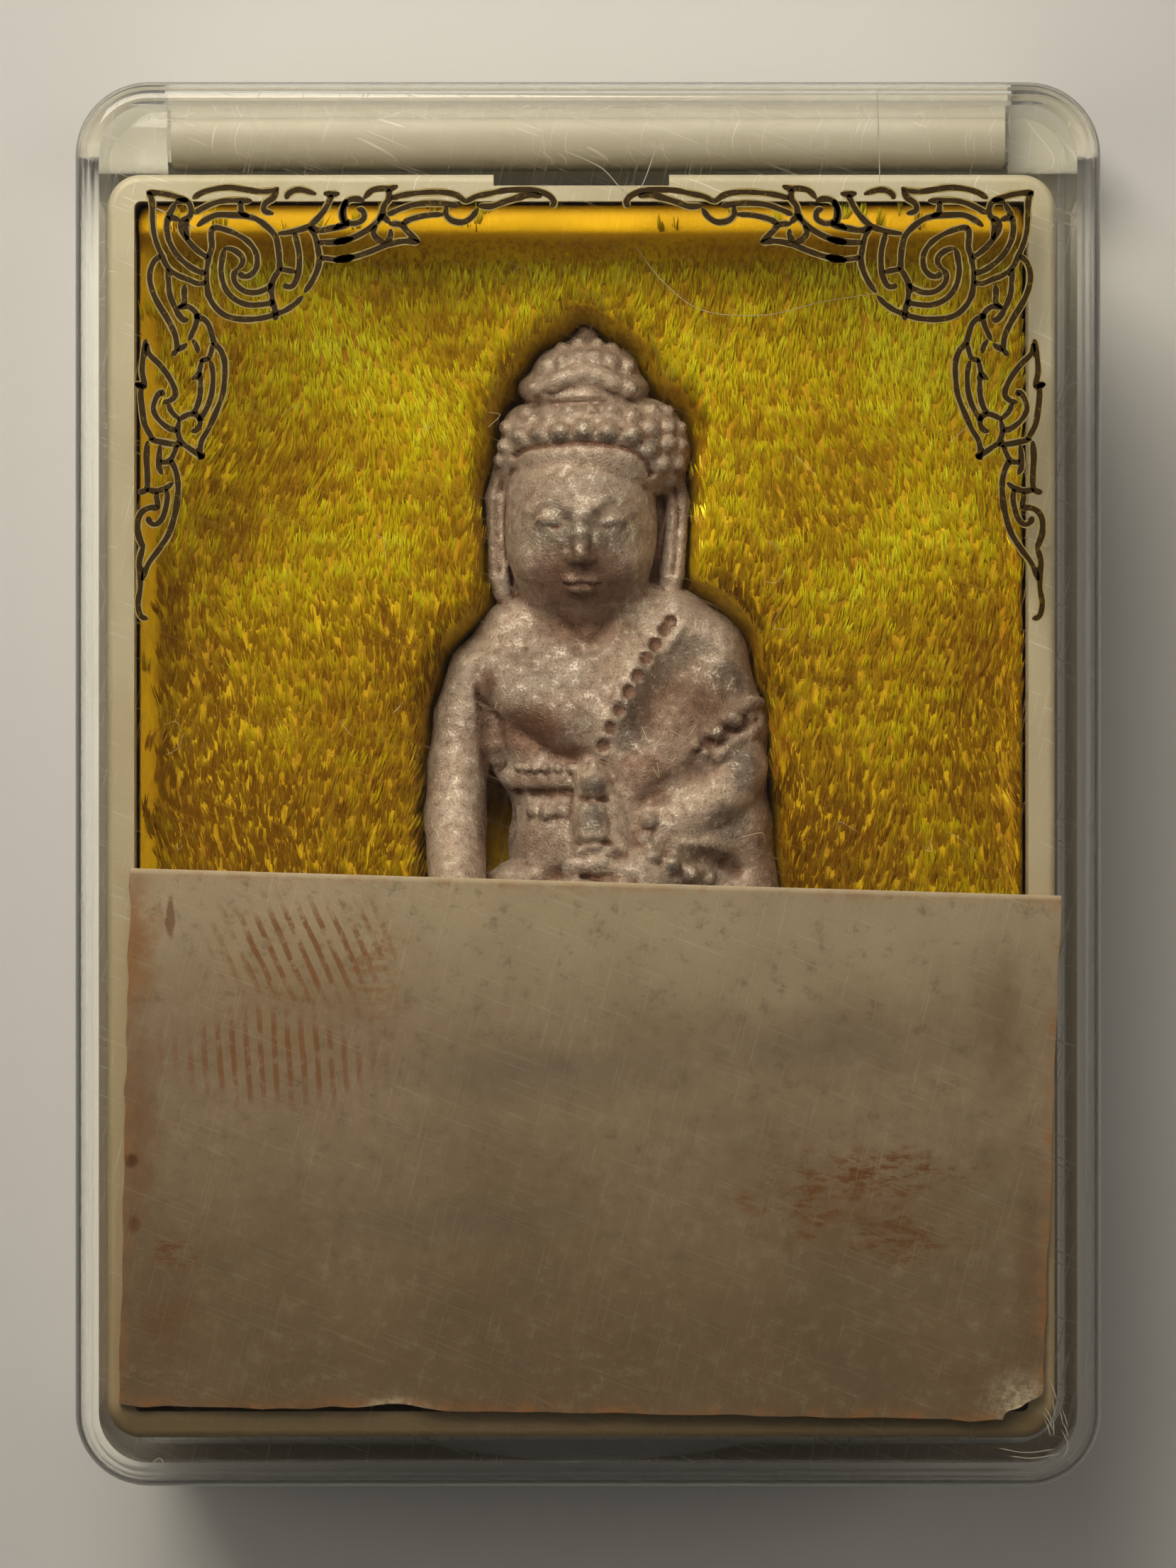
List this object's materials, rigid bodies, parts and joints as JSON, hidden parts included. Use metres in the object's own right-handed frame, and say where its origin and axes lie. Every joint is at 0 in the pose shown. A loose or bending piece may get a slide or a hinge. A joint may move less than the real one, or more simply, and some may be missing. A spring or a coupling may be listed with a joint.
{
  "type": "amulet statuette in a hinged clear case",
  "caption": "Small cast seated statuette with curled hair, lying on a yellow velvet pad in a flat case with a hinged clear lid, with a plain label card across its lap.",
  "frame": {"origin": "middle of the closed case on its underside", "axes": "the case lies on its back: +X across it, +Y towards the hinge end and the statuette's head, +Z out through the clear lid"},
  "size_m": [0.046, 0.063, 0.02],
  "materials": {
    "cream_plastic": "moulded, lightly scuffed",
    "white_plastic": "pressed sheet, satin",
    "yellow_velvet": "short ribbed pile",
    "cast_metal": "grainy casting, pale silvered with a rosy tone",
    "card": "uncoated card, stained",
    "clear_plastic": "clear moulded, lightly scratched"
  },
  "bodies": {
    "case": {"base": "cream_plastic", "tray": "white_plastic", "velvet_pad": "yellow_velvet", "statuette": "cast_metal", "label_card": "card"},
    "lid": {"lid": "clear_plastic"}
  },
  "joints": [
    {"name": "lid_hinge", "type": "hinge", "parent": "case", "child": "lid", "pos_m": [0, 0.02975, 0.0068], "axis": [-1, 0, 0], "range_deg": [0, 90]}
  ]
}
